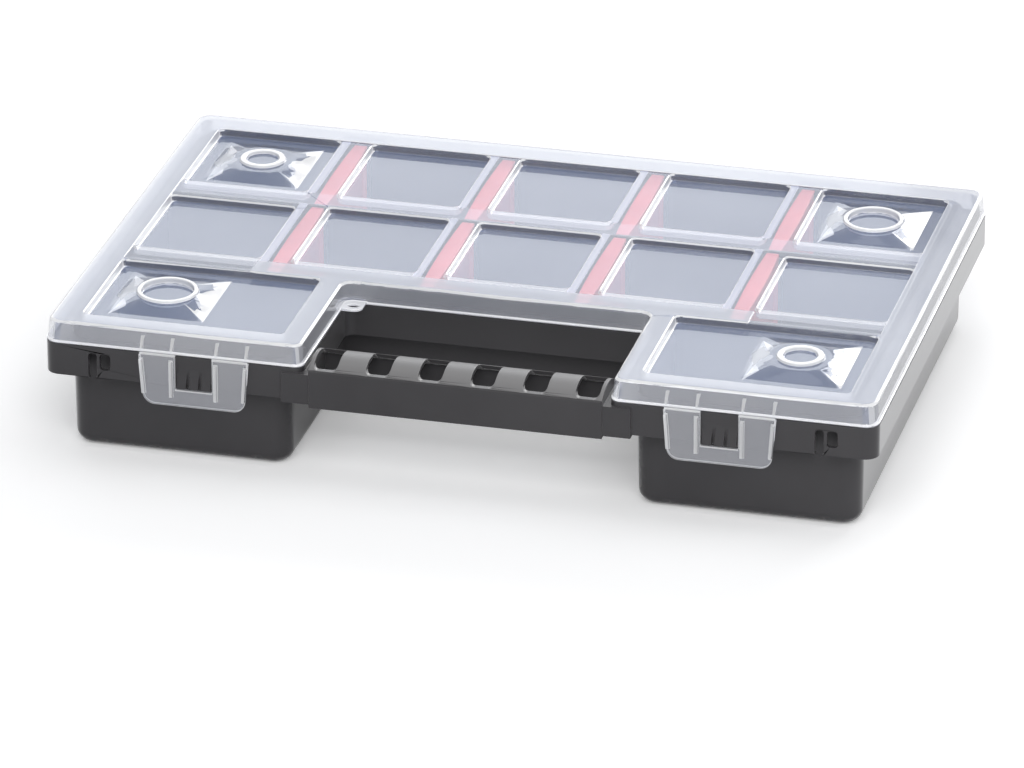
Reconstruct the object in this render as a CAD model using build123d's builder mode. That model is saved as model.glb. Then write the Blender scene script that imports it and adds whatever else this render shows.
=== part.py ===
from build123d import *
from math import atan, degrees, sqrt
import os

# Compartment storage box: a black tray with a carrying handle across its front
# notch, a clear hinged lid with sunk windows, two flip latches and loose dividers.
# X runs to the right, Y to the back and Z up. The origin is on the underside,
# in the middle of the tray's plan. All sizes are millimetres.

# Overall plan
case_width = 344.0
case_depth = 224.0
notch_width = 126.6
notch_depth = 66.5
plan_corner_radius = 6.0
notch_mouth_radius = 4.0
notch_inner_radius = 4.0

# Heights, counted from the table
rim_bottom_z = 34.6
rim_top_z = 48.2
wall_top_z = 54.8
lid_top_z = 57.8

# Clearances between separate pieces
seat_gap = 0.3
divider_end_gap = 0.4
pin_gap = 0.06

# Tray walls
tray_wall = 1.8
tray_floor = 1.8
rim_wall = 2.0
rim_flange = 1.6
body_inset = 8.0
body_draft_run = 0.6
body_corner_radius = 8.0
body_foot_radius = 5.5
row_wall_thickness = 1.8
row_wall_y = 34.6
cell_corner_radius = 4.0
cell_floor_radius = 3.0
rim_rib_thickness = 1.2
rim_rib_lift = 2.0
back_rib_count = 5
side_rib_count = 4
side_rib_pitch = 45.0

# Divider guides and dividers
column_count = 5
divider_web = 1.4
divider_top_gap = 0.5
divider_cap = 1.6
divider_cap_middle_width = 7.2
divider_cap_end_width = 5.4
divider_end_width = 5.0
divider_end_flange = 1.2
divider_foot_radius = 4.0
guide_width = 1.2
guide_reach = 1.6
guide_side_gap = 0.3

# Handle, a channel with an arched top that is open below
handle_front_reach = 1.4
handle_depth = 22.4
handle_bottom_z = 32.0
handle_arch_start_z = 48.2
handle_arch_rise = 4.0
handle_arch_edge_radius = 1.2
handle_wall = 1.5
handle_mouth_gap = 2.7
handle_end_wall = 1.4
handle_back_bottom_z = 33.0
handle_slot_count = 6
handle_slot_pitch = 21.6
handle_slot_width = 9.9
handle_slot_depth = 18.6
handle_slot_lift = 0.4
handle_slot_radius = 2.2
handle_rib = 2.0
handle_rib_drop = 5.0
handle_block_bottom_z = 33.2
handle_block_top_z = 46.3
handle_block_setback = 0.5

# Catches for the latches
latch_from_side = 63.5
catch_width = 14.2
catch_tooth_gap = 1.1
catch_tooth_count = 3
catch_top_z = 42.6
catch_reach = 1.7
catch_lip = 0.8

# Slots in the front of the rim, near its ends
rim_slot_x = 150.0
rim_slot_shift = 1.3
rim_slot_long = (3.6, 11.0)
rim_slot_short = (4.4, 7.0)
rim_slot_spacing = 5.2
rim_slot_top_drop = 1.2
rim_slot_radius = 1.4

# Lid
lid_plate = 1.5
lid_skirt_wall = 1.5
lid_skirt_inset = 0.4
lid_top_inset = 1.1
lid_top_radius = 1.6
lid_lip_height = 0.9

# Windows sunk into the lid, and the shallow trough that most of them share
side_border = 13.5
back_border = 15.3
front_border = 11.0
trough_depth = 0.4
trough_floor = 1.3
trough_front_y = -33.0
window_depth = 3.2
window_floor = 1.3
window_side_wall = 1.3
window_slope_run = 0.4
window_corner_radius = 2.5
column_strip = 13.0
side_strip = 14.5
row_strip = 13.3
middle_window_front_y = -28.5
side_window_front_y = -29.5
side_window_back_y = 24.8
front_window_back_y = -44.5
front_window_wall_x = 74.4

# Raised seats in the four corner windows: two carry a cup, and two a stud
# that fits the cup of the box above or below
seat_pitch_x = 263.5
seat_pitch_y = 140.5
seat_base = 42.0
seat_top_radius = 12.6
seat_slope_height = 2.4
seat_wall = 1.3
seat_proud = 0.3
cup_wall = 1.9
cup_depth = 2.3
stud_gap = 1.1
stud_wall = 2.7
stud_recess = 1.4

# Small pierced ear in the back left corner of the notch
ear_size = 8.4
ear_thickness = 1.2
ear_radius = 3.6
ear_hole = (4.6, 3.0)

# Latches
latch_width = 45.2
latch_foot_width = 42.4
latch_height = 21.6
latch_plate = 1.5
latch_corner_radius = 5.0
latch_window_width = 15.4
latch_window_height = 14.2
latch_rib = 1.4
latch_rib_reach = 1.5
latch_inner_rib_spacing = 18.6
latch_inner_rib_height = 17.4
latch_rib_start = 1.7
latch_bead_radius = 0.75
latch_hinge_drop = 0.2
skirt_rib_height = 7.4

# Lid hinge at the back: pins on the tray, clips on the lid
hinge_x = 100.0
hinge_clip_width = 18.0
hinge_pin_radius = 1.5
hinge_clip_wall = 1.4
hinge_lug_width = 3.0
hinge_lug_gap = 0.3
hinge_axis_z = 46.0
hinge_lug_drop = 3.6
clip_mouth = 2.2
clip_arm_height = 3.4

# Worked out from the values above
half_width = case_width / 2
half_depth = case_depth / 2
latch_x = half_width - latch_from_side
notch_half = notch_width / 2
notch_back_y = -half_depth + notch_depth
lid_bottom_z = rim_top_z + seat_gap
inner_half_width = half_width - body_inset - tray_wall
inner_half_depth = half_depth - body_inset - tray_wall
middle_front_y = notch_back_y + body_inset + tray_wall
column_pitch = 2 * inner_half_width / column_count
divider_xs = [(i - (column_count - 2) / 2) * column_pitch for i in range(column_count - 1)]
back_row_y = (row_wall_y + row_wall_thickness / 2, inner_half_depth)
middle_row_y = (middle_front_y, row_wall_y - row_wall_thickness / 2)
divider_top_z = wall_top_z - divider_top_gap
handle_block_outer_x = notch_half + body_inset + tray_wall / 2
handle_front_y = -half_depth - handle_front_reach
handle_back_y = handle_front_y + handle_depth
handle_top_z = handle_arch_start_z + handle_arch_rise
handle_half_length = notch_half - handle_mouth_gap
handle_block_inner_x = handle_half_length - handle_end_wall
hinge_ring_radius = hinge_pin_radius + pin_gap + hinge_clip_wall
hinge_axis_y = half_depth + seat_gap + hinge_ring_radius
latch_back_y = -half_depth - seat_gap
latch_front_y = latch_back_y - latch_plate
latch_hinge_y = (latch_back_y + latch_front_y) / 2
latch_hinge_z = lid_bottom_z - latch_hinge_drop


# The plan of the box: a rectangle with a notch in the middle of its front,
# drawn inset by the same amount all round
def draw_plan(inset, outer_radius, mouth_radius, inner_radius):
    x = half_width - inset
    y = half_depth - inset
    nx = notch_half + inset
    ny = notch_back_y + inset
    with BuildSketch() as plan:
        with BuildLine():
            Polyline(
                (-x, -y), (-nx, -y), (-nx, ny), (nx, ny), (nx, -y),
                (x, -y), (x, y), (-x, y), (-x, -y),
            )
        make_face()
        corners = plan.vertices()
        fillet([v for v in corners if abs(v.X) > x - 1], outer_radius)
        mouth = [v for v in plan.vertices() if abs(abs(v.X) - nx) < 0.01 and v.Y < -y + 0.01]
        fillet(mouth, mouth_radius)
        inner = [v for v in plan.vertices() if abs(abs(v.X) - nx) < 0.01 and abs(v.Y - ny) < 0.01]
        fillet(inner, inner_radius)
    return plan.sketch


# A box-shaped space with rounded upright corners and a rounded floor
def open_space(x_range, y_range, bottom_z, top_z):
    width = x_range[1] - x_range[0]
    depth = y_range[1] - y_range[0]
    with BuildPart() as space:
        with BuildSketch(Plane.XY.offset(bottom_z)):
            with Locations(((x_range[0] + x_range[1]) / 2, (y_range[0] + y_range[1]) / 2)):
                RectangleRounded(width, depth, cell_corner_radius)
        extrude(amount=top_z - bottom_z)
        fillet(space.edges().group_by(Axis.Z)[0], cell_floor_radius)
    return space.part


# Tray: spaces inside, cut after everything else has been joined
front_cell_x = (notch_half + body_inset + tray_wall, inner_half_width)
front_cell_y = (-inner_half_depth, middle_front_y - row_wall_thickness)
tray_spaces = [
    open_space((-inner_half_width, inner_half_width), back_row_y, tray_floor, wall_top_z + 1),
    open_space((-inner_half_width, inner_half_width), middle_row_y, tray_floor, wall_top_z + 1),
    open_space(front_cell_x, front_cell_y, tray_floor, wall_top_z + 1),
    open_space((-front_cell_x[1], -front_cell_x[0]), front_cell_y, tray_floor, wall_top_z + 1),
]

# Handle: a bar across the notch, hollow and open below, with slots through its top
handle_middle_y = (handle_front_y + handle_back_y) / 2
handle_inside_depth = handle_depth - 2 * handle_wall
slot_xs = [(i - (handle_slot_count - 1) / 2) * handle_slot_pitch for i in range(handle_slot_count)]
bar_xs = [x + handle_slot_pitch / 2 for x in slot_xs[:-1]]

# The arch is part of a circle, and the hollow below follows it a wall lower
arch_radius = ((handle_depth / 2) ** 2 + handle_arch_rise**2) / (2 * handle_arch_rise)
arch_center_z = handle_top_z - arch_radius
hollow_radius = arch_radius - handle_wall
hollow_start_z = arch_center_z + sqrt(hollow_radius**2 - (handle_inside_depth / 2) ** 2)

with BuildPart() as handle_outside:
    with BuildSketch(Plane.YZ) as profile:
        with BuildLine():
            ThreePointArc(
                (handle_front_y, handle_arch_start_z),
                (handle_middle_y, handle_top_z),
                (handle_back_y, handle_arch_start_z),
            )
            Polyline(
                (handle_back_y, handle_arch_start_z),
                (handle_back_y, handle_back_bottom_z),
                (handle_front_y, handle_bottom_z),
                (handle_front_y, handle_arch_start_z),
            )
        make_face()
        fillet(profile.vertices().group_by(Axis.Y)[-1], handle_arch_edge_radius)
    extrude(amount=handle_half_length, both=True)
    with BuildSketch(Plane.XY.offset(handle_block_bottom_z)):
        for side in (-1, 1):
            block_x = side * (handle_block_outer_x + handle_block_inner_x) / 2
            with Locations((block_x, handle_middle_y + handle_block_setback / 2)):
                Rectangle(handle_block_outer_x - handle_block_inner_x, handle_depth - handle_block_setback)
    extrude(amount=handle_block_top_z - handle_block_bottom_z)

with BuildPart() as handle_hollow:
    with BuildSketch(Plane.YZ):
        with BuildLine():
            ThreePointArc(
                (handle_front_y + handle_wall, hollow_start_z),
                (handle_middle_y, handle_top_z - handle_wall),
                (handle_back_y - handle_wall, hollow_start_z),
            )
            Polyline(
                (handle_back_y - handle_wall, hollow_start_z),
                (handle_back_y - handle_wall, handle_bottom_z - 1),
                (handle_front_y + handle_wall, handle_bottom_z - 1),
                (handle_front_y + handle_wall, hollow_start_z),
            )
        make_face()
    extrude(amount=handle_block_inner_x, both=True)
    with BuildSketch(Plane.XY.offset(handle_top_z - handle_wall - handle_rib_drop)):
        with Locations(*[(x, handle_middle_y) for x in bar_xs]):
            Rectangle(handle_rib, handle_inside_depth)
    extrude(amount=handle_rib_drop + handle_wall, mode=Mode.SUBTRACT)

    # Slots, cut from the front so that their lower corners are round
    slot_bottom_z = handle_arch_start_z + handle_slot_lift
    slot_height = handle_arch_rise + 2 * handle_slot_radius
    with BuildSketch(Plane.XZ.offset(1 - handle_front_y)):
        with Locations(*[(x, slot_bottom_z + slot_height / 2) for x in slot_xs]):
            RectangleRounded(handle_slot_width, slot_height, handle_slot_radius)
    extrude(amount=-handle_slot_depth - 1)

# Catch: a row of wedge teeth with an undercut lip, drawn at x = 0
tooth_width = (catch_width - (catch_tooth_count - 1) * catch_tooth_gap) / catch_tooth_count
tooth_pitch = tooth_width + catch_tooth_gap
with BuildPart() as catch:
    for i in range(catch_tooth_count):
        tooth_x = (i - (catch_tooth_count - 1) / 2) * tooth_pitch
        with BuildSketch(Plane.YZ.offset(tooth_x - tooth_width / 2)):
            with BuildLine():
                Polyline(
                    (-half_depth + rim_wall / 2, catch_top_z),
                    (-half_depth, catch_top_z),
                    (-half_depth - catch_reach, rim_bottom_z + catch_lip),
                    (-half_depth - catch_reach, rim_bottom_z),
                    (-half_depth + rim_wall / 2, rim_bottom_z),
                    close=True,
                )
            make_face()
        extrude(amount=tooth_width)

# Hinge mount: two lugs with a pin between them, drawn at x = 0
with BuildPart() as hinge_mount:
    lug_start = hinge_clip_width / 2 + hinge_lug_gap
    lug_radius = hinge_ring_radius - seat_gap
    for start in (-lug_start - hinge_lug_width, lug_start):
        with BuildSketch(Plane.YZ.offset(start)):
            with BuildLine():
                Polyline(
                    (half_depth - rim_wall / 2, hinge_axis_z - hinge_lug_drop),
                    (half_depth, hinge_axis_z - hinge_lug_drop),
                    (hinge_axis_y, hinge_axis_z - lug_radius),
                    (hinge_axis_y, hinge_axis_z + hinge_pin_radius),
                    (half_depth - rim_wall / 2, hinge_axis_z + hinge_pin_radius),
                    close=True,
                )
            make_face()
            with Locations((hinge_axis_y, hinge_axis_z)):
                Circle(lug_radius)
        extrude(amount=hinge_lug_width)
    with BuildSketch(Plane.YZ):
        with Locations((hinge_axis_y, hinge_axis_z)):
            Circle(hinge_pin_radius)
    extrude(amount=lug_start + hinge_lug_width / 2, both=True)

with BuildPart() as tray:
    # Body, slightly narrower at its foot
    foot_inset = body_inset + body_draft_run
    with BuildSketch():
        add(draw_plan(foot_inset, body_corner_radius, body_corner_radius, notch_inner_radius))
    with BuildSketch(Plane.XY.offset(wall_top_z)):
        add(draw_plan(body_inset, body_corner_radius, body_corner_radius, notch_inner_radius))
    loft(ruled=True)
    fillet([e for e in tray.edges() if e.bounding_box().max.Z < 0.01], body_foot_radius)

    # Rim: a flange, and the band that hangs from it
    with BuildSketch(Plane.XY.offset(rim_bottom_z)):
        add(draw_plan(0, plan_corner_radius, notch_mouth_radius, notch_inner_radius))
        add(
            draw_plan(rim_wall, plan_corner_radius - rim_wall, notch_mouth_radius - rim_wall,
                      notch_inner_radius + rim_wall),
            mode=Mode.SUBTRACT,
        )
    extrude(amount=rim_top_z - rim_bottom_z)
    with BuildSketch(Plane.XY.offset(rim_top_z - rim_flange)):
        add(draw_plan(0, plan_corner_radius, notch_mouth_radius, notch_inner_radius))
    extrude(amount=rim_flange)

    # Stiffening ribs between the band and the body
    with BuildSketch(Plane.XY.offset(rim_bottom_z + rim_rib_lift)):
        rib_run = body_inset + body_draft_run
        for i in range(back_rib_count):
            x = (i - (back_rib_count - 1) / 2) * column_pitch
            with Locations((x, half_depth - rim_wall / 2 - rib_run / 2)):
                Rectangle(rim_rib_thickness, rib_run)
        for i in range(side_rib_count):
            y = (i - (side_rib_count - 1) / 2) * side_rib_pitch
            for side in (-1, 1):
                with Locations((side * (half_width - rim_wall / 2 - rib_run / 2), y)):
                    Rectangle(rib_run, rim_rib_thickness)
    extrude(amount=rim_top_z - rim_flange / 2 - rim_bottom_z - rim_rib_lift)

    add(handle_outside.part)
    add(handle_hollow.part, mode=Mode.SUBTRACT)
    with Locations((-latch_x, 0, 0), (latch_x, 0, 0)):
        add(catch.part)
    with Locations((-hinge_x, 0, 0), (hinge_x, 0, 0)):
        add(hinge_mount.part)

    # Paired slots through the front of the rim
    slot_top_z = rim_top_z - rim_flange - rim_slot_top_drop
    with BuildSketch(Plane.XZ.offset(half_depth + 1)):
        for side in (-1, 1):
            long_x = side * rim_slot_x + rim_slot_shift - rim_slot_spacing / 2
            with Locations((long_x, slot_top_z - rim_slot_long[1] / 2)):
                RectangleRounded(*rim_slot_long, rim_slot_radius)
            with Locations((long_x + rim_slot_spacing, slot_top_z - rim_slot_short[1] / 2)):
                RectangleRounded(*rim_slot_short, rim_slot_radius)
    extrude(amount=-rim_wall - 2, mode=Mode.SUBTRACT)

    # Compartments, then the guides that hold each divider at its ends
    add(tray_spaces, mode=Mode.SUBTRACT)
    guide_x = divider_end_width / 2 + guide_side_gap + guide_width / 2
    with BuildSketch(Plane.XY.offset(tray_floor / 2)):
        for x in divider_xs:
            for wall_y, inward in (
                (back_row_y[0], 1), (back_row_y[1], -1), (middle_row_y[0], 1), (middle_row_y[1], -1),
            ):
                guide_y = wall_y + inward * (guide_reach - tray_wall / 2) / 2
                with Locations((x - guide_x, guide_y), (x + guide_x, guide_y)):
                    Rectangle(guide_width, guide_reach + tray_wall / 2)
    extrude(amount=divider_top_z - divider_cap - tray_floor / 2)

tray.part.label = "tray"


# Lid windows, as outlines seen from above
def rectangle_points(x_range, y_range):
    return [
        (x_range[0], y_range[0]), (x_range[1], y_range[0]),
        (x_range[1], y_range[1]), (x_range[0], y_range[1]),
    ]


# A sunk space with sloping sides, open at the given height; its outline is
# grown first, and the corners at its two ends are rounded
def sunk_space(points, top_z, depth, grow, corner):
    with BuildPart() as space:
        with BuildSketch(Plane.XY.offset(top_z)) as outline:
            with BuildLine():
                Polyline(*points, close=True)
            make_face()
            if grow != 0:
                offset(amount=grow, kind=Kind.INTERSECTION)
            ends = outline.vertices().group_by(Axis.X)
            fillet(ends[0] + ends[-1], corner)
        extrude(amount=-depth, taper=window_slope)
    return space.part


window_slope = degrees(atan(window_slope_run / window_depth))
trough_run = window_slope_run * trough_depth / window_depth
trough_z = lid_top_z - trough_depth
window_floor_z = lid_top_z - window_depth
field_x = half_width - side_border
back_window_y = (row_wall_y + row_strip / 2, half_depth - back_border - trough_run)
middle_window_y = (middle_window_front_y, row_wall_y - row_strip / 2)
side_window_y = (side_window_front_y, side_window_back_y)
side_window_x = (divider_xs[-1] + side_strip / 2, field_x - trough_run)
front_window_y = (-half_depth + front_border, front_window_back_y)

# The trough reaches forward into the two front windows at its sides
trough_wing_x = side_window_x[0] - trough_run
trough_wing_y = front_window_back_y - window_slope_run
trough_points = [
    (-field_x, trough_wing_y), (-trough_wing_x, trough_wing_y),
    (-trough_wing_x, trough_front_y), (trough_wing_x, trough_front_y),
    (trough_wing_x, trough_wing_y), (field_x, trough_wing_y),
    (field_x, half_depth - back_border), (-field_x, half_depth - back_border),
]

inner_half = (column_pitch - column_strip) / 2
inner_xs = [(i - (column_count - 3) / 2) * column_pitch for i in range(column_count - 2)]
trough_windows = []
for center in inner_xs:
    for y_range in (back_window_y, middle_window_y):
        trough_windows.append(rectangle_points((center - inner_half, center + inner_half), y_range))
for y_range in (back_window_y, side_window_y):
    trough_windows.append(rectangle_points(side_window_x, y_range))
    trough_windows.append(rectangle_points((-side_window_x[1], -side_window_x[0]), y_range))
front_windows = [
    rectangle_points((front_window_wall_x, field_x), front_window_y),
    rectangle_points((-field_x, -front_window_wall_x), front_window_y),
]

lid_spaces = [sunk_space(trough_points, lid_top_z, trough_depth, 0, window_corner_radius)]
lid_shells = [
    sunk_space(trough_points, lid_top_z, trough_depth + trough_floor, window_side_wall,
               window_corner_radius + window_side_wall),
]
for points in trough_windows:
    lid_spaces.append(sunk_space(points, trough_z, window_depth - trough_depth, 0, window_corner_radius))
    lid_shells.append(
        sunk_space(points, trough_z, window_depth - trough_depth + window_floor, window_side_wall,
                   window_corner_radius + window_side_wall)
    )
for points in front_windows:
    lid_spaces.append(sunk_space(points, lid_top_z, window_depth, 0, window_corner_radius))
    lid_shells.append(
        sunk_space(points, lid_top_z, window_depth + window_floor, window_side_wall,
                   window_corner_radius + window_side_wall)
    )

# A circle drawn as four arcs that meet on the diagonals, so that each arc
# faces one side of a square
def quartered_circle(radius):
    q = radius * sqrt(0.5)
    with BuildSketch() as circle:
        with BuildLine():
            ThreePointArc((-q, -q), (0, -radius), (q, -q))
            ThreePointArc((q, -q), (radius, 0), (q, q))
            ThreePointArc((q, q), (0, radius), (-q, q))
            ThreePointArc((-q, q), (-radius, 0), (-q, -q))
        make_face()
    return circle.sketch


# Raised seat: a low hollow pyramid with a round top, drawn at x = y = 0
seat_top_z = window_floor_z + seat_slope_height
seat_rim_z = lid_top_z + seat_proud
seat_under_z = window_floor_z - window_floor
seat_roof_z = seat_top_z - seat_wall
with BuildPart() as seat_outside:
    with BuildSketch(Plane.XY.offset(seat_under_z)):
        Rectangle(seat_base, seat_base)
    extrude(amount=window_floor)
    with BuildSketch(Plane.XY.offset(window_floor_z)):
        Rectangle(seat_base, seat_base)
    with BuildSketch(Plane.XY.offset(seat_top_z)):
        add(quartered_circle(seat_top_radius))
    loft(ruled=True)

with BuildPart() as seat_hollow:
    with BuildSketch(Plane.XY.offset(seat_under_z)):
        Rectangle(seat_base - 2 * seat_wall, seat_base - 2 * seat_wall)
    with BuildSketch(Plane.XY.offset(seat_roof_z)):
        add(quartered_circle(seat_top_radius - seat_wall))
    loft(ruled=True)

# What stands on a seat: a deep cup on one diagonal, a ring-shaped stud on the other
cup_inner_radius = seat_top_radius - cup_wall
stud_radius = cup_inner_radius - stud_gap
with BuildPart() as cup:
    with BuildSketch(Plane.XY.offset(seat_rim_z - cup_depth - seat_wall)):
        Circle(cup_inner_radius + seat_wall / 2)
    extrude(amount=cup_depth + seat_wall)
    with BuildSketch(Plane.XY.offset(seat_roof_z)):
        Circle(seat_top_radius)
    extrude(amount=seat_rim_z - seat_roof_z)
with BuildPart() as cup_space:
    with BuildSketch(Plane.XY.offset(seat_rim_z - cup_depth)):
        Circle(cup_inner_radius)
    extrude(amount=cup_depth)
with BuildPart() as stud:
    with BuildSketch(Plane.XY.offset(seat_roof_z)):
        Circle(stud_radius)
    extrude(amount=seat_rim_z - seat_roof_z)
with BuildPart() as stud_space:
    with BuildSketch(Plane.XY.offset(seat_rim_z - stud_recess)):
        Circle(stud_radius - stud_wall)
    extrude(amount=stud_recess)

seat_x = seat_pitch_x / 2
seat_y = seat_pitch_y / 2
cup_places = [(-seat_x, -seat_y, 0), (seat_x, seat_y, 0)]
stud_places = [(seat_x, -seat_y, 0), (-seat_x, seat_y, 0)]

# Skirt ribs above a latch, which carry on the latch's own ribs, drawn at x = 0
with BuildPart() as skirt_ribs:
    for spacing in (latch_inner_rib_spacing, latch_width - latch_rib):
        for end in (-1, 1):
            with BuildSketch(Plane.YZ.offset(end * spacing / 2 - latch_rib / 2)):
                with BuildLine():
                    Polyline(
                        (-half_depth + lid_skirt_wall, lid_bottom_z + latch_rib_start),
                        (-half_depth - latch_rib_reach, lid_bottom_z + latch_rib_start),
                        (-half_depth + lid_top_inset, lid_bottom_z + skirt_rib_height),
                        (-half_depth + lid_skirt_wall, lid_bottom_z + skirt_rib_height),
                        close=True,
                    )
                make_face()
            extrude(amount=latch_rib)

# Clip that snaps over a hinge pin, drawn at x = 0
with BuildPart() as hinge_clip:
    with BuildSketch(Plane.YZ.offset(-hinge_clip_width / 2)):
        with Locations((hinge_axis_y, hinge_axis_z)):
            Circle(hinge_ring_radius)
        with BuildLine():
            Polyline(
                (half_depth - lid_skirt_wall, lid_bottom_z),
                (hinge_axis_y, lid_bottom_z),
                (hinge_axis_y, hinge_axis_z),
                (hinge_axis_y + hinge_ring_radius, hinge_axis_z),
                (hinge_axis_y + hinge_ring_radius, lid_bottom_z + clip_arm_height / 2),
                (hinge_axis_y, lid_bottom_z + clip_arm_height),
                (half_depth - lid_skirt_wall, lid_bottom_z + clip_arm_height),
                close=True,
            )
        make_face()
        with Locations((hinge_axis_y, hinge_axis_z)):
            Circle(hinge_pin_radius + pin_gap, mode=Mode.SUBTRACT)
        with Locations((hinge_axis_y, hinge_axis_z - hinge_ring_radius)):
            Rectangle(clip_mouth, 2 * hinge_ring_radius, mode=Mode.SUBTRACT)
    extrude(amount=hinge_clip_width)

with BuildPart() as lid:
    # Skirt, drawn in a little towards the top, with a lip along its lower edge
    with BuildSketch(Plane.XY.offset(lid_bottom_z)):
        add(draw_plan(lid_skirt_inset, plan_corner_radius, notch_mouth_radius, notch_inner_radius))
    with BuildSketch(Plane.XY.offset(lid_top_z)):
        add(draw_plan(lid_top_inset, plan_corner_radius, notch_mouth_radius, notch_inner_radius))
    loft(ruled=True)
    fillet([e for e in lid.edges() if e.bounding_box().min.Z > lid_top_z - 0.01], lid_top_radius)
    with BuildSketch(Plane.XY.offset(lid_bottom_z)):
        add(draw_plan(0, plan_corner_radius, notch_mouth_radius, notch_inner_radius))
    extrude(amount=lid_lip_height)
    with BuildSketch(Plane.XY.offset(lid_bottom_z)):
        add(draw_plan(lid_skirt_inset + lid_skirt_wall, plan_corner_radius, notch_mouth_radius,
                      notch_inner_radius))
    with BuildSketch(Plane.XY.offset(lid_top_z - lid_plate)):
        add(draw_plan(lid_top_inset + lid_skirt_wall, plan_corner_radius, notch_mouth_radius,
                      notch_inner_radius))
    loft(ruled=True, mode=Mode.SUBTRACT)

    add(lid_shells)
    add(lid_spaces, mode=Mode.SUBTRACT)
    with Locations(*cup_places, *stud_places):
        add(seat_outside.part)
        add(seat_hollow.part, mode=Mode.SUBTRACT)
    for places, solid, space in (
        (cup_places, cup.part, cup_space.part), (stud_places, stud.part, stud_space.part),
    ):
        with Locations(*places):
            add(solid)
            add(space, mode=Mode.SUBTRACT)

    # Pierced ear in the back left corner of the notch
    ear_center = (-notch_half + ear_size / 2 - ear_radius / 2, notch_back_y - ear_size / 2 + ear_radius / 2)
    with BuildSketch(Plane.XY.offset(lid_bottom_z)):
        with Locations(ear_center):
            RectangleRounded(ear_size + ear_radius, ear_size + ear_radius, ear_radius)
        with Locations((ear_center[0] + ear_radius / 2, ear_center[1] - ear_radius / 2)):
            Ellipse(ear_hole[0] / 2, ear_hole[1] / 2, mode=Mode.SUBTRACT)
    extrude(amount=ear_thickness)

    with Locations((-latch_x, 0, 0), (latch_x, 0, 0)):
        add(skirt_ribs.part)
    with Locations((-hinge_x, 0, 0), (hinge_x, 0, 0)):
        add(hinge_clip.part)

lid.part.label = "lid"

# Latch: a plate with a window for the catch, ribs down its front and a bead
# in each leg along the hinge line, drawn at x = 0
latch_foot_z = latch_hinge_z - latch_height
with BuildPart() as latch:
    with BuildSketch(Plane.XZ.offset(-latch_back_y)) as plate:
        with BuildLine():
            Polyline(
                (-latch_width / 2, latch_hinge_z),
                (-latch_foot_width / 2, latch_foot_z),
                (latch_foot_width / 2, latch_foot_z),
                (latch_width / 2, latch_hinge_z),
                close=True,
            )
        make_face()
        fillet(plate.vertices().group_by(Axis.Y)[0], latch_corner_radius)
        with Locations((0, latch_hinge_z - latch_window_height / 2)):
            Rectangle(latch_window_width, latch_window_height, mode=Mode.SUBTRACT)
    extrude(amount=latch_plate)

    leg_width = (latch_width - latch_window_width) / 2
    for side in (-1, 1):
        with BuildSketch(Plane.YZ.offset(side * (latch_window_width + leg_width) / 2 - leg_width / 2)):
            with Locations((latch_hinge_y, latch_hinge_z)):
                Circle(latch_bead_radius)
        extrude(amount=leg_width)

    # Outer ribs lean in with the sides, inner ribs stand straight
    lean = (latch_width - latch_foot_width) / 2
    outer_rib_x = (latch_width - latch_rib) / 2
    outer_rib_height = latch_height - latch_corner_radius
    outer_lean = lean * outer_rib_height / latch_height
    inner_rib_drop = (latch_rib_start + latch_inner_rib_height) / 2
    with BuildSketch(Plane.XZ.offset(-latch_front_y)):
        for side in (-1, 1):
            with Locations((side * latch_inner_rib_spacing / 2, latch_hinge_z - inner_rib_drop)):
                Rectangle(latch_rib, latch_inner_rib_height - latch_rib_start)
            with BuildLine():
                Polyline(
                    (side * (outer_rib_x - latch_rib / 2), latch_hinge_z - latch_rib_start),
                    (side * (outer_rib_x + latch_rib / 2), latch_hinge_z - latch_rib_start),
                    (side * (outer_rib_x + latch_rib / 2 - outer_lean), latch_hinge_z - outer_rib_height),
                    (side * (outer_rib_x - latch_rib / 2 - outer_lean), latch_hinge_z - outer_rib_height),
                    close=True,
                )
            make_face()
    extrude(amount=latch_rib_reach)

latches = {}
for name, x in (("latch_left", -latch_x), ("latch_right", latch_x)):
    with BuildPart() as placed_latch:
        with Locations((x, 0, 0)):
            add(latch.part)
    placed_latch.part.label = name
    latches[name] = placed_latch.part


# Divider for a row: a thin web with a flange at each end and a cap along its
# top that is widest in the middle
def divider_part(x, y_range):
    start = y_range[0] + divider_end_gap
    end = y_range[1] - divider_end_gap
    middle = (start + end) / 2
    cap_end = divider_cap_end_width / 2
    cap_middle = divider_cap_middle_width / 2
    with BuildPart() as divider:
        with BuildSketch(Plane.YZ.offset(x - divider_web / 2)) as web:
            with Locations((middle, (tray_floor + divider_top_z) / 2)):
                Rectangle(end - start, divider_top_z - tray_floor)
            fillet(web.vertices().group_by(Axis.Y)[0], divider_foot_radius)
        extrude(amount=divider_web)
        with BuildSketch(Plane.XY.offset(tray_floor + divider_foot_radius)):
            for y in (start + divider_end_flange / 2, end - divider_end_flange / 2):
                with Locations((x, y)):
                    Rectangle(divider_end_width, divider_end_flange)
        extrude(amount=divider_top_z - divider_cap / 2 - tray_floor - divider_foot_radius)
        with BuildSketch(Plane.XY.offset(divider_top_z - divider_cap)):
            with BuildLine():
                Line((x - cap_end, start), (x + cap_end, start))
                ThreePointArc((x + cap_end, start), (x + cap_middle, middle), (x + cap_end, end))
                Line((x + cap_end, end), (x - cap_end, end))
                ThreePointArc((x - cap_end, end), (x - cap_middle, middle), (x - cap_end, start))
            make_face()
        extrude(amount=divider_cap)
    return divider.part


dividers = {}
for row, y_range in (("back", back_row_y), ("middle", middle_row_y)):
    for i, x in enumerate(divider_xs):
        name = f"divider_{row}_{i + 1}"
        piece = divider_part(x, y_range)
        piece.label = name
        dividers[name] = piece

os.makedirs("parts", exist_ok=True)
export_step(tray.part, "parts/tray.step")
export_step(lid.part, "parts/lid.step")
for name, piece in {**latches, **dividers}.items():
    export_step(piece, f"parts/{name}.step")
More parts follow.
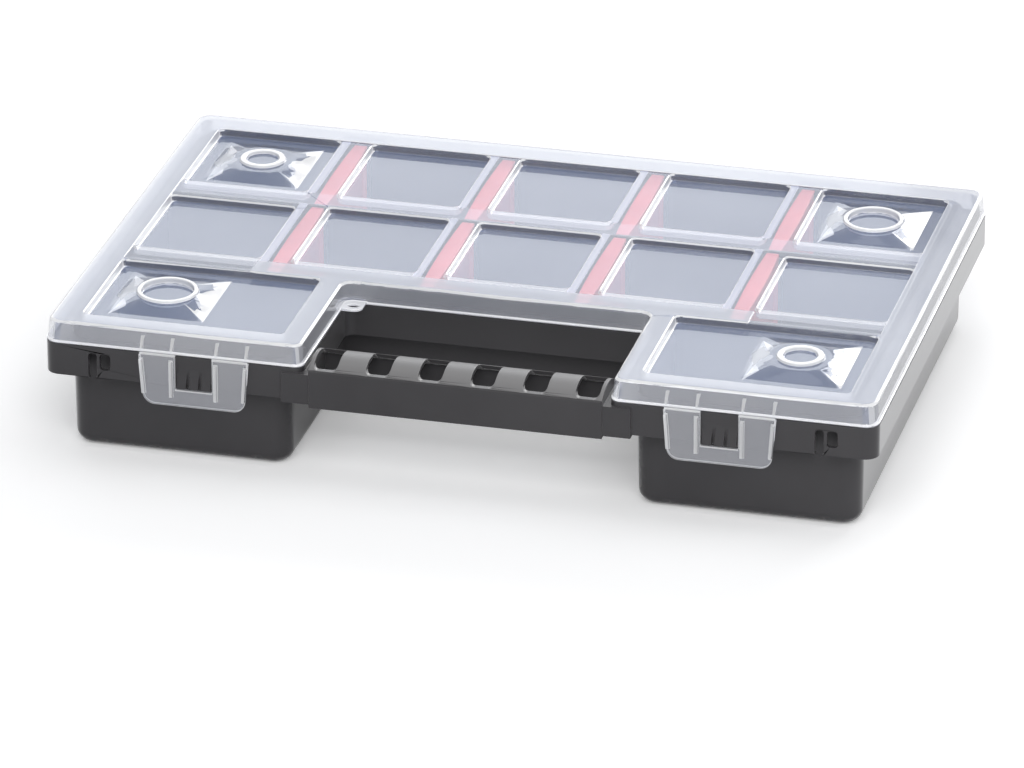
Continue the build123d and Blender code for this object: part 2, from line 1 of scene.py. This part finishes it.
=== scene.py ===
from math import cos, hypot, radians, sin

import bpy
from mathutils import Matrix, Vector


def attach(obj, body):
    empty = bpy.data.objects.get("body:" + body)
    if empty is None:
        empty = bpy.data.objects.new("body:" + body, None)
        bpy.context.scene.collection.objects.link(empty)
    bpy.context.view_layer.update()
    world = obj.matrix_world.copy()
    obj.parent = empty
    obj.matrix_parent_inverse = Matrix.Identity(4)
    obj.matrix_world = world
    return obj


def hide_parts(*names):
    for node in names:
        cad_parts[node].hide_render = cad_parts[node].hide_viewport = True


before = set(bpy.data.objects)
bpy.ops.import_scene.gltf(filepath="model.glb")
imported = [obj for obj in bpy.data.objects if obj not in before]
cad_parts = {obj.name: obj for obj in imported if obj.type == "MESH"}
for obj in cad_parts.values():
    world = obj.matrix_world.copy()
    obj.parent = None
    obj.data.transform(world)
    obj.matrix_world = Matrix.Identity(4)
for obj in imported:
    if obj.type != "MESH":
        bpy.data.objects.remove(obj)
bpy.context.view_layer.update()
print("frame loaded:", len(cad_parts), "nodes")

# Camera at the photograph's viewing angle: a long lens, far off
cameraSetup = {
    "azimuth": 14.386,
    "elevation": 24.756,
    "roll": -0.114,
    "distance": 3.2715,
    "target": (-0.00433, -0.00369, 0.0),
    "lens": 278.05,
    "sensor": 36,
    "clip": (0.05, 50),
}


def placeCamera():
    az, el, roll = (radians(cameraSetup[key]) for key in ("azimuth", "elevation", "roll"))
    back = Vector((sin(az) * cos(el), -cos(az) * cos(el), sin(el)))
    side = Vector((cos(az), sin(az), 0))
    up = back.cross(side)
    right = side * cos(roll) + up * sin(roll)
    top = up * cos(roll) - side * sin(roll)
    bpy.ops.object.camera_add()
    camera = bpy.context.active_object
    camera.name = "camera"
    camera.data.lens = cameraSetup["lens"]
    camera.data.sensor_width = cameraSetup["sensor"]
    camera.data.sensor_fit = "HORIZONTAL"
    camera.data.clip_start, camera.data.clip_end = cameraSetup["clip"]
    place = Vector(cameraSetup["target"]) + back * cameraSetup["distance"]
    turn = Matrix((right, top, back)).transposed().to_4x4()
    camera.matrix_world = Matrix.Translation(place) @ turn
    bpy.context.scene.camera = camera


placeCamera()
bpy.context.scene.view_settings.view_transform = "Standard"
print("camera placed")


# Nodes that the studio and the materials share
def newMaterial(name):
    material = bpy.data.materials.new(name)
    material.use_nodes = True
    return material, material.node_tree, material.node_tree.nodes["Principled BSDF"]


def mathOf(tree, operation, first, second):
    step = tree.nodes.new("ShaderNodeMath")
    step.operation = operation
    for socket, value in zip(step.inputs, (first, second)):
        if isinstance(value, (int, float)):
            socket.default_value = value
        else:
            tree.links.new(value, socket)
    return step.outputs[0]


def mixOf(tree, amount, first, second):
    mixed = tree.nodes.new("ShaderNodeMixShader")
    for socket, source in zip(mixed.inputs, (amount, first, second)):
        tree.links.new(source, socket)
    return mixed.outputs[0]


# A number that goes from low to high while the source goes from start to end
def rangeOf(tree, source, start, end, low, high):
    step = tree.nodes.new("ShaderNodeMapRange")
    for name, value in (("From Min", start), ("From Max", end), ("To Min", low), ("To Max", high)):
        step.inputs[name].default_value = value
    tree.links.new(source, step.inputs["Value"])
    return step.outputs[0]


# Floor, world and lamps. The floor is lifted a little for the camera alone, and
# the world is white where the camera or a gloss sees it
studio = {
    "worldStrength": 0.42,
    "worldColor": (0.97, 0.985, 1.0, 1),
    "floorSize": 12.0,
    "floorDrop": 0.0002,
    "floorColor": (0.93, 0.93, 0.94, 1),
    "floorRough": 0.75,
    "floorShine": 0.2,
    "floorLift": 0.23,
    "aim": (0, 0, 0.03),
    "lamps": (
        # name, place, size across and up, power, colour
        ("topLamp", (0.15, 0.25, 1.7), (1.6, 1.4), 4.5, (1.0, 0.995, 0.985)),
        ("frontLamp", (0.25, -1.5, 1.5), (1.4, 1.0), 16.0, (1.0, 0.995, 0.985)),
        ("backLamp", (-1.05, 2.1, 1.05), (1.6, 0.9), 6.0, (0.93, 0.96, 1.0)),
        ("backRightLamp", (0.5, 2.1, 0.93), (1.25, 1.15), 17.9, (1.0, 1.0, 1.0)),
        ("sideLamp", (1.9, 0.3, 0.75), (0.9, 0.8), 6.0, (1.0, 1.0, 1.0)),
    ),
}


def buildFloor():
    drop = (0, 0, -studio["floorDrop"])
    bpy.ops.mesh.primitive_plane_add(size=studio["floorSize"], location=drop)
    floor = bpy.context.active_object
    floor.name = "floor"
    bpy.ops.object.transform_apply(location=True)
    material, tree, shader = newMaterial("paleFloor")
    shader.inputs["Base Color"].default_value = studio["floorColor"]
    shader.inputs["Roughness"].default_value = studio["floorRough"]
    shader.inputs["Specular IOR Level"].default_value = studio["floorShine"]
    glow = tree.nodes.new("ShaderNodeEmission")
    glow.inputs["Color"].default_value = (1, 1, 1, 1)
    glow.inputs["Strength"].default_value = studio["floorLift"]
    lifted = tree.nodes.new("ShaderNodeAddShader")
    tree.links.new(shader.outputs[0], lifted.inputs[0])
    tree.links.new(glow.outputs[0], lifted.inputs[1])
    path = tree.nodes.new("ShaderNodeLightPath")
    seen = mixOf(tree, path.outputs["Is Camera Ray"], shader.outputs[0], lifted.outputs[0])
    tree.links.new(seen, tree.nodes["Material Output"].inputs[0])
    floor.data.materials.append(material)


def buildWorld():
    world = bpy.data.worlds.new("studio")
    bpy.context.scene.world = world
    world.use_nodes = True
    tree = world.node_tree
    soft = tree.nodes["Background"]
    soft.inputs["Color"].default_value = studio["worldColor"]
    soft.inputs["Strength"].default_value = studio["worldStrength"]
    white = tree.nodes.new("ShaderNodeBackground")
    white.inputs["Color"].default_value = (1, 1, 1, 1)
    white.inputs["Strength"].default_value = 1
    path = tree.nodes.new("ShaderNodeLightPath")
    seen = mathOf(tree, "MAXIMUM", path.outputs["Is Camera Ray"], path.outputs["Is Glossy Ray"])
    seen = mathOf(tree, "MAXIMUM", seen, path.outputs["Is Transmission Ray"])
    either = mixOf(tree, seen, soft.outputs[0], white.outputs[0])
    tree.links.new(either, tree.nodes["World Output"].inputs[0])


def addLamp(name, place, size, power, color):
    bpy.ops.object.light_add(type="AREA", location=place)
    lamp = bpy.context.active_object
    lamp.name = name
    lamp.data.shape = "RECTANGLE"
    lamp.data.size, lamp.data.size_y = size
    lamp.data.energy = power
    lamp.data.color = color
    lamp.visible_camera = False
    aim = Vector(studio["aim"]) - Vector(place)
    lamp.rotation_euler = aim.to_track_quat("-Z", "Y").to_euler()


buildFloor()
buildWorld()
for lampSetup in studio["lamps"]:
    addLamp(*lampSetup)
print("studio lit")


# Materials
def objectNoise(tree, scale, detail, roughness=0.5):
    place = tree.nodes.new("ShaderNodeTexCoord")
    noise = tree.nodes.new("ShaderNodeTexNoise")
    for name, value in (("Scale", scale), ("Detail", detail), ("Roughness", roughness)):
        noise.inputs[name].default_value = value
    tree.links.new(place.outputs["Object"], noise.inputs["Vector"])
    return noise.outputs["Fac"]


def rampOf(tree, source, low, high, start=0.35, end=0.65):
    ramp = tree.nodes.new("ShaderNodeValToRGB")
    first, last = ramp.color_ramp.elements
    first.position, last.position = start, end
    first.color, last.color = low, high
    tree.links.new(source, ramp.inputs[0])
    return ramp.outputs[0]


def grayRamp(tree, source, levels, *ends):
    low, high = ((level, level, level, 1) for level in levels)
    return rampOf(tree, source, low, high, *ends)


def addBump(tree, shader, source, strength, distance):
    bump = tree.nodes.new("ShaderNodeBump")
    bump.inputs["Strength"].default_value = strength
    bump.inputs["Distance"].default_value = distance
    tree.links.new(source, bump.inputs["Height"])
    tree.links.new(bump.outputs[0], shader.inputs["Normal"])


def addCoat(tree, under, strength, roughness):
    gloss = tree.nodes.new("ShaderNodeBsdfGlossy")
    gloss.inputs["Roughness"].default_value = roughness
    return mixOf(tree, strength, under, gloss.outputs[0])


blackPlastic = {
    "dark": (0.047, 0.0455, 0.049, 1),
    "light": (0.065, 0.063, 0.067, 1),
    "rough": (0.36, 0.48),
    "shine": 0.25,
    # scale, detail and roughness of the noise, and its reach in the ramps
    "cloud": (9, 4, 0.6),
    "cloudReach": (0.3, 0.7),
    "grain": (2600, 2),
    "grainBump": (0.35, 0.00003),
    # gain, power and roughness of the sheen on surfaces seen at a slant
    "body": (1.93, 5.4, 0.3),
    "grip": (0.2, 0.25, 0.5),
    "slant": 0.5,
    "mostSheen": 0.8,
}


def makeBlackPlastic(area):
    material, tree, shader = newMaterial(area + "Plastic")
    cloud = objectNoise(tree, *blackPlastic["cloud"])
    reach = blackPlastic["cloudReach"]
    color = rampOf(tree, cloud, blackPlastic["dark"], blackPlastic["light"], *reach)
    tree.links.new(color, shader.inputs["Base Color"])
    tree.links.new(grayRamp(tree, cloud, blackPlastic["rough"], *reach), shader.inputs["Roughness"])
    shader.inputs["Specular IOR Level"].default_value = blackPlastic["shine"]
    addBump(tree, shader, objectNoise(tree, *blackPlastic["grain"]), *blackPlastic["grainBump"])
    slant = tree.nodes.new("ShaderNodeLayerWeight")
    slant.inputs["Blend"].default_value = blackPlastic["slant"]
    gain, power, roughness = blackPlastic[area]
    sheen = mathOf(tree, "POWER", slant.outputs["Facing"], power)
    sheen = mathOf(tree, "MULTIPLY", sheen, gain)
    sheen = mathOf(tree, "MINIMUM", sheen, blackPlastic["mostSheen"])
    coated = addCoat(tree, shader.outputs[0], sheen, roughness)
    tree.links.new(coated, tree.nodes["Material Output"].inputs[0])
    return material


# Each area of the lid has two tints, a veil, how dense the milky plastic looks, and a gain for its
# gloss. Some areas hold painted light or shade, picked by which way a face points
clearPlastic = {
    "areas": {
        "lid": ((0.42, 0.55, 0.92, 1), (0.50, 0.62, 0.96, 1), 0.18, 1.45),
        "strip": ((0.62, 0.66, 0.90, 1), (0.68, 0.72, 0.93, 1), 0.06, 1.3),
        "border": ((0.56, 0.59, 0.69, 1), (0.62, 0.65, 0.74, 1), 0.62, 0.55),
        # painted shade: a dark tint on the windows' back walls that face the front, where shade
        # falls in the recess
        "wall": ((0.16, 0.17, 0.22, 1), (0.20, 0.21, 0.26, 1), 0.62, 1.45),
        # painted light: a pale tint on the seats' left slopes
        "seat": ((0.68, 0.71, 0.79, 1), (0.74, 0.77, 0.85, 1), 0.58, 0.3),
        "skirt": ((0.80, 0.83, 0.93, 1), (0.88, 0.90, 0.97, 1), 0.22, 1.45),
        "latch": ((0.80, 0.83, 0.93, 1), (0.88, 0.90, 0.97, 1), 0.18, 1.45),
        # partly denser plastic, partly painted highlight: a whitish tint on window walls that face
        # left and on the latches' rounded edges
        "edge": ((0.93, 0.94, 0.98, 1), (0.99, 0.99, 1.0, 1), 0.52, 1.45),
        # painted highlight: a near-white tint and dense veil on faces that face right, on rounded
        # mouths and fillets, where light catches them
        "paintedHighlight": ((0.94, 0.94, 0.97, 1), (0.99, 0.99, 1.0, 1), 0.82, 1.45),
    },
    # the strips are denser between the two rows and right of each window:
    # added veil, middle or start, and the reach where it ends
    "row": (0.20, 0.0346, 0.0052, 0.0064),
    "bars": (0.42, 0.02594, 0.0034, 0.0040),
    "pitch": 0.06488,
    "lastBar": (0.12, 0.121),
    # scale, detail and roughness of the noise, and what it does to the veil
    "flow": (14, 3, 0.55),
    "flowReach": (0.3, 0.7),
    "veilSpread": 0.015,
    "flowBump": (0.12, 0.002),
    "rough": (0.10, 0.17),
    "glossRough": 0.06,
    "bend": 1.5,
    "shade": (0.93, 0.94, 0.96, 1),
}


def addStripVeil(tree, veil):
    place = tree.nodes.new("ShaderNodeTexCoord")
    split = tree.nodes.new("ShaderNodeSeparateXYZ")
    tree.links.new(place.outputs["Object"], split.inputs[0])
    across, depth = split.outputs["X"], split.outputs["Y"]

    added, middle, inner, outer = clearPlastic["row"]
    away = mathOf(tree, "ABSOLUTE", mathOf(tree, "SUBTRACT", depth, middle), 0)
    veil = mathOf(tree, "ADD", veil, rangeOf(tree, away, inner, outer, added, 0))
    offRow = rangeOf(tree, away, inner, outer, 0, 1)

    added, first, inner, outer = clearPlastic["bars"]
    along = mathOf(tree, "SUBTRACT", across, first)
    along = mathOf(tree, "FLOORED_MODULO", along, clearPlastic["pitch"])
    bar = mathOf(tree, "MULTIPLY", rangeOf(tree, along, inner, outer, added, 0), offRow)
    beforeEnd = rangeOf(tree, across, *clearPlastic["lastBar"], 1, 0)
    return mathOf(tree, "ADD", veil, mathOf(tree, "MULTIPLY", bar, beforeEnd))


# Milky see-through plastic. Lamplight passes it with little loss, and only
# outer faces shine
def makeClearPlastic(area):
    material, tree, shader = newMaterial(area + "Plastic")
    low, high, density, gloss = clearPlastic["areas"][area]
    flow = objectNoise(tree, *clearPlastic["flow"])
    spread = clearPlastic["veilSpread"]
    reach = clearPlastic["flowReach"]
    veil = rangeOf(tree, flow, *reach, density - spread, density + spread)
    if area == "strip":
        veil = addStripVeil(tree, veil)
    tree.links.new(rampOf(tree, flow, low, high), shader.inputs["Base Color"])
    tree.links.new(grayRamp(tree, flow, clearPlastic["rough"]), shader.inputs["Roughness"])
    tree.links.new(veil, shader.inputs["Alpha"])
    shader.inputs["IOR"].default_value = clearPlastic["bend"]
    addBump(tree, shader, flow, *clearPlastic["flowBump"])

    fresnel = tree.nodes.new("ShaderNodeFresnel")
    fresnel.inputs["IOR"].default_value = clearPlastic["bend"]
    sides = tree.nodes.new("ShaderNodeNewGeometry")
    outer = mathOf(tree, "SUBTRACT", 1, sides.outputs["Backfacing"])
    shine = mathOf(tree, "MULTIPLY", fresnel.outputs[0], outer)
    shine = mathOf(tree, "MINIMUM", mathOf(tree, "MULTIPLY", shine, gloss), 1)
    coated = addCoat(tree, shader.outputs[0], shine, clearPlastic["glossRough"])

    openToLamps = tree.nodes.new("ShaderNodeBsdfTransparent")
    openToLamps.inputs["Color"].default_value = clearPlastic["shade"]
    path = tree.nodes.new("ShaderNodeLightPath")
    shaded = mixOf(tree, path.outputs["Is Shadow Ray"], coated, openToLamps.outputs[0])
    tree.links.new(shaded, tree.nodes["Material Output"].inputs[0])
    return material


redPlastic = {
    "dark": (0.72, 0.09, 0.11, 1),
    "light": (0.86, 0.13, 0.15, 1),
    "rough": 0.38,
    "cloud": (30, 3),
    "cloudBump": (0.1, 0.0004),
}


def makeRedPlastic():
    material, tree, shader = newMaterial("redPlastic")
    cloud = objectNoise(tree, *redPlastic["cloud"])
    color = rampOf(tree, cloud, redPlastic["dark"], redPlastic["light"])
    tree.links.new(color, shader.inputs["Base Color"])
    shader.inputs["Roughness"].default_value = redPlastic["rough"]
    addBump(tree, shader, cloud, *redPlastic["cloudBump"])
    return material


black = makeBlackPlastic("body")
grip = makeBlackPlastic("grip")
clears = {area: makeClearPlastic(area) for area in clearPlastic["areas"]}
red = makeRedPlastic()
print("materials made")

# What all mouldings share: the distance that merges points, the angle between
# triangles that lie flat, and the angles above which an edge is rounded or hard
moulding = {
    "merge": 0.000004,
    "flat": radians(0.3),
    "anyShape": radians(180),
    "rounded": radians(33),
    "hard": radians(40),
}


def pickOnly(piece):
    bpy.ops.object.select_all(action="DESELECT")
    piece.select_set(True)
    bpy.context.view_layer.objects.active = piece


# A merged copy of a node, in quads where its triangles lie flat, with the
# materials it needs
def mergedCopy(nodeName, name, materials):
    pickOnly(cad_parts[nodeName])
    bpy.ops.object.duplicate()
    piece = bpy.context.active_object
    piece.name = name
    piece.data.materials.clear()
    for material in materials:
        piece.data.materials.append(material)
    bpy.ops.object.mode_set(mode="EDIT")
    bpy.ops.mesh.select_all(action="SELECT")
    bpy.ops.mesh.customdata_custom_splitnormals_clear()
    bpy.ops.mesh.remove_doubles(threshold=moulding["merge"])
    flat, anyShape = moulding["flat"], moulding["anyShape"]
    bpy.ops.mesh.tris_convert_to_quads(face_threshold=flat, shape_threshold=anyShape)
    bpy.ops.object.mode_set(mode="OBJECT")
    return piece


# Rounds all sharp edges by the same small amount, or each by its weight. The
# rounded strips take the given material, or that of a neighbour
def roundEdges(piece, radius, steps, limit="ANGLE", material=-1):
    pickOnly(piece)
    rounding = piece.modifiers.new("rounding", "BEVEL")
    rounding.width = radius
    rounding.segments = steps
    rounding.limit_method = limit
    rounding.angle_limit = moulding["rounded"]
    rounding.use_clamp_overlap = False
    rounding.miter_outer = "MITER_SHARP"
    rounding.face_strength_mode = "FSTR_AFFECTED"
    rounding.material = material
    bpy.ops.object.modifier_apply(modifier="rounding")


def finishMoulding(piece, nodeName, body):
    pickOnly(piece)
    bpy.ops.object.shade_smooth_by_angle(angle=moulding["hard"])
    weighting = piece.modifiers.new("weighting", "WEIGHTED_NORMAL")
    weighting.keep_sharp = True
    weighting.use_face_influence = True
    bpy.ops.object.modifier_apply(modifier="weighting")
    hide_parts(nodeName)
    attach(piece, body)
    print(piece.name, "finished:", len(piece.data.polygons), "faces")


# Lid: its places are the CAD lid's, in metres
lidLook = {
    # radius at the windows' mouths, at other edges and at the strips' low step
    "mouth": 0.0007,
    "edge": 0.0005,
    "step": 0.00028,
    "steps": 4,
    "topZ": 0.0578,
    "troughZ": 0.0574,
    "mouthZ": 0.0567,
    "lipTop": 0.0499,
    "outer": (0.172, 0.112),
    "outerReach": 0.004,
    "skirtBand": 0.0026,
    "notch": (0.0633, -0.0455),
    "frontField": -0.044,
    "ribFront": -0.1117,
    "seat": (0.13175, 0.07025, 0.02),
    # the front wall of each row of windows, from front to back
    "frontWalls": ((-0.1035, -0.1), (-0.0315, -0.0275), (0.0385, 0.0418)),
    # how near two heights are the same, on an edge and on a face
    "sameEdge": 0.00002,
    "sameFace": 0.0001,
}

# Limits for a face's normal: how far it points up or to a side
facing = {
    "flatEdge": 0.99,
    "flat": 0.98,
    "slope": 0.6,
    "halfUp": 0.5,
    "upright": 0.3,
    "mouth": 0.2,
    "right": 0.15,
    "straight": 0.03,
}


# How far one of the lid's edges is rounded: the mouths of the windows most, and
# the low step around the strips least
def lidRounding(points, flat, slope):
    if flat.normal.angle(slope.normal) < moulding["rounded"]:
        return 0
    if flat.normal.z < slope.normal.z:
        flat, slope = slope, flat
    same = lidLook["sameEdge"]
    level = max(point.z for point in points)
    low = min(point.z for point in points)
    if flat.normal.z < facing["flatEdge"] or level - low > same:
        return lidLook["edge"]
    x, y = (max(abs(point[axis]) for point in points) for axis in (0, 1))
    reach = lidLook["outerReach"]
    if x > lidLook["outer"][0] - reach or y > lidLook["outer"][1] - reach:
        return lidLook["edge"]
    if abs(level - lidLook["troughZ"]) < same:
        return lidLook["mouth"] if slope.center.z < level else 0
    if abs(level - lidLook["topZ"]) < same:
        inFront = all(point.y < lidLook["frontField"] for point in points)
        return lidLook["mouth"] if inFront else lidLook["step"]
    return lidLook["edge"]


def weighLid(mesh):
    beside = {}
    for face in mesh.polygons:
        for key in face.edge_keys:
            beside.setdefault(key, []).append(face)
    weights = mesh.attributes.new("bevel_weight_edge", "FLOAT", "EDGE")
    for edge in mesh.edges:
        faces = beside[edge.key]
        if len(faces) == 2:
            points = [mesh.vertices[i].co for i in edge.key]
            weights.data[edge.index].value = lidRounding(points, *faces) / lidLook["mouth"]


# Skirt: its rounded top edge and the lip's flat faces take the painted highlight
def skirtArea(place, normal):
    if place.y < lidLook["ribFront"]:
        return "edge"
    if place.z < lidLook["lipTop"]:
        return "skirt" if abs(normal.z) < facing["upright"] else "paintedHighlight"
    if facing["halfUp"] < normal.z < facing["flat"]:
        return "paintedHighlight"
    return "skirt" if abs(normal.z) < facing["slope"] else "border"


# A seat's ring and its right slope take the painted highlight, its left slope the paler painted
# light of the seat tint
def seatArea(place, normal):
    if abs(normal.z) < facing["slope"] or place.z > lidLook["troughZ"]:
        return "paintedHighlight"
    if abs(normal.z) > facing["flat"] or abs(normal.y) > facing["straight"]:
        return "lid"
    onRight = (place.x > 0) == (abs(place.x) > lidLook["seat"][0])
    return "paintedHighlight" if onRight else "seat"


# Windows: rounded mouths, faces that face right and the front walls' front faces take the painted
# highlight
def windowArea(place, normal):
    level, same = lidLook["troughZ"], lidLook["sameFace"]
    if place.z > level - same and normal.z > facing["flat"]:
        return "border" if place.z > level + same else "strip"
    if place.z > lidLook["mouthZ"] and normal.z > facing["mouth"]:
        return "paintedHighlight"
    inFront = any(low < place.y < high for low, high in lidLook["frontWalls"])
    # back walls that face the front take the painted shade of the dark wall tint
    if normal.y < -facing["slope"]:
        return "paintedHighlight" if inFront else "wall"
    # walls that face left take the whitish edge tint, a painted highlight
    if normal.x < -facing["slope"] or inFront and normal.y > facing["slope"]:
        return "edge"
    return "paintedHighlight" if normal.x > max(facing["right"], abs(normal.y)) else "lid"


def lidArea(face):
    place, normal = face.center, face.normal
    x, y = abs(place.x), place.y
    band = lidLook["skirtBand"]
    outerX, outerY = lidLook["outer"]
    notchX, notchY = lidLook["notch"]
    outside = x > outerX - band or abs(y) > outerY - band
    if outside or x < notchX + band and y < notchY + band:
        return skirtArea(place, normal)
    seatX, seatY, seatReach = lidLook["seat"]
    if hypot(x - seatX, abs(y) - seatY) < seatReach:
        return seatArea(place, normal)
    return windowArea(place, normal)


areas = list(clearPlastic["areas"])
lidShell = mergedCopy("lid", "lidShell", [clears[area] for area in areas])
weighLid(lidShell.data)
roundEdges(lidShell, lidLook["mouth"], lidLook["steps"], "WEIGHT")
for face in lidShell.data.polygons:
    face.material_index = areas.index(lidArea(face))
finishMoulding(lidShell, "lid", "lid")

# Latches: ribs and the strip along the hinge are the densest, and the rounded edges take the same
# whitish tint as a painted highlight
latchLook = {"edge": 0.0003, "steps": 2, "hingeZ": 0.0476, "ribFront": -0.1139}
for side in ("left", "right"):
    materials = (clears["latch"], clears["edge"])
    plate = mergedCopy("latch_" + side, f"latch{side.title()}Plate", materials)
    for face in plate.data.polygons:
        dense = face.center.z > latchLook["hingeZ"] or face.center.y < latchLook["ribFront"]
        face.material_index = 1 if dense else 0
    roundEdges(plate, latchLook["edge"], latchLook["steps"], material=1)
    finishMoulding(plate, "latch_" + side, "latch_" + side)

# Tray: the arched top of the handle has a softer sheen
trayLook = {
    "edge": 0.0003,
    "steps": 2,
    "halfGrip": 0.0648,
    "gripY": (-0.1134, -0.0909),
    "gripZ": 0.0486,
}


def onGrip(face):
    x, y, z = face.center
    front, back = trayLook["gripY"]
    above = z > trayLook["gripZ"] and face.normal.z > facing["upright"]
    return above and abs(x) < trayLook["halfGrip"] and front < y < back


trayShell = mergedCopy("tray", "trayShell", (black, grip))
roundEdges(trayShell, trayLook["edge"], trayLook["steps"])
for face in trayShell.data.polygons:
    face.material_index = 1 if onGrip(face) else 0
finishMoulding(trayShell, "tray", "tray")

dividerLook = {"edge": 0.0004, "steps": 2, "rows": ("back", "middle"), "perRow": 4}
for row in dividerLook["rows"]:
    for place in range(1, dividerLook["perRow"] + 1):
        node = f"divider_{row}_{place}"
        divider = mergedCopy(node, f"divider{row.title()}{place}", (red,))
        roundEdges(divider, dividerLook["edge"], dividerLook["steps"])
        finishMoulding(divider, node, "tray")
